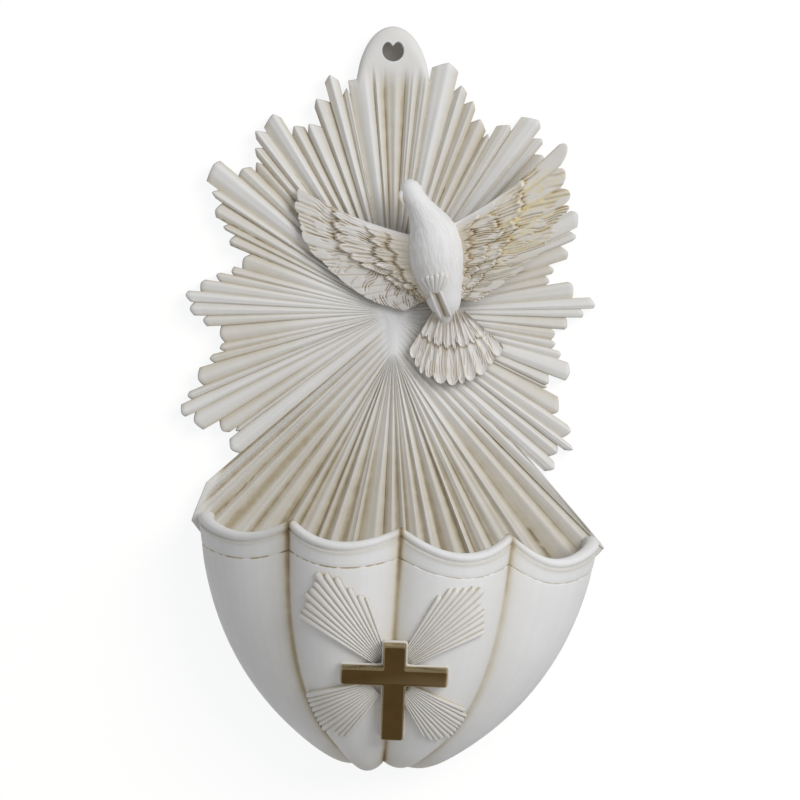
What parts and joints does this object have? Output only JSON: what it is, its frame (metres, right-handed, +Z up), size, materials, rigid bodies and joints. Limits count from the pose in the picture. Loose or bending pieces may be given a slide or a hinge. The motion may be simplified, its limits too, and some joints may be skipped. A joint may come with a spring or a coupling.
{
  "type": "holy water stoup",
  "caption": "Wall-hung cast stoup: a sunburst back plate of fluted rays with a nail hole, a dove in flight, and a lobed half bowl for water with a gilt cross between ray fans.",
  "frame": {"origin": "on the flat back of the plate, behind the hub of the sunburst", "axes": "+X to the right as seen from the front, +Y into the wall, +Z up"},
  "size_m": [0.1176, 0.0513, 0.2077],
  "materials": {
    "cast_stone": "matte ivory, brown wash in the recesses",
    "pale_stone": "matte white, brown wash and touches of gold",
    "gilt": "polished, dark gold"
  },
  "bodies": {
    "root": {"sunburst_plate": "cast_stone", "bowl": "cast_stone", "dove_body": "pale_stone", "left_wing": "pale_stone", "right_wing": "pale_stone", "tail": "pale_stone", "fan_upper_left": "cast_stone", "fan_upper_right": "cast_stone", "fan_lower_left": "cast_stone", "fan_lower_right": "cast_stone", "cross_pad": "cast_stone", "cross": "gilt"}
  },
  "joints": []
}
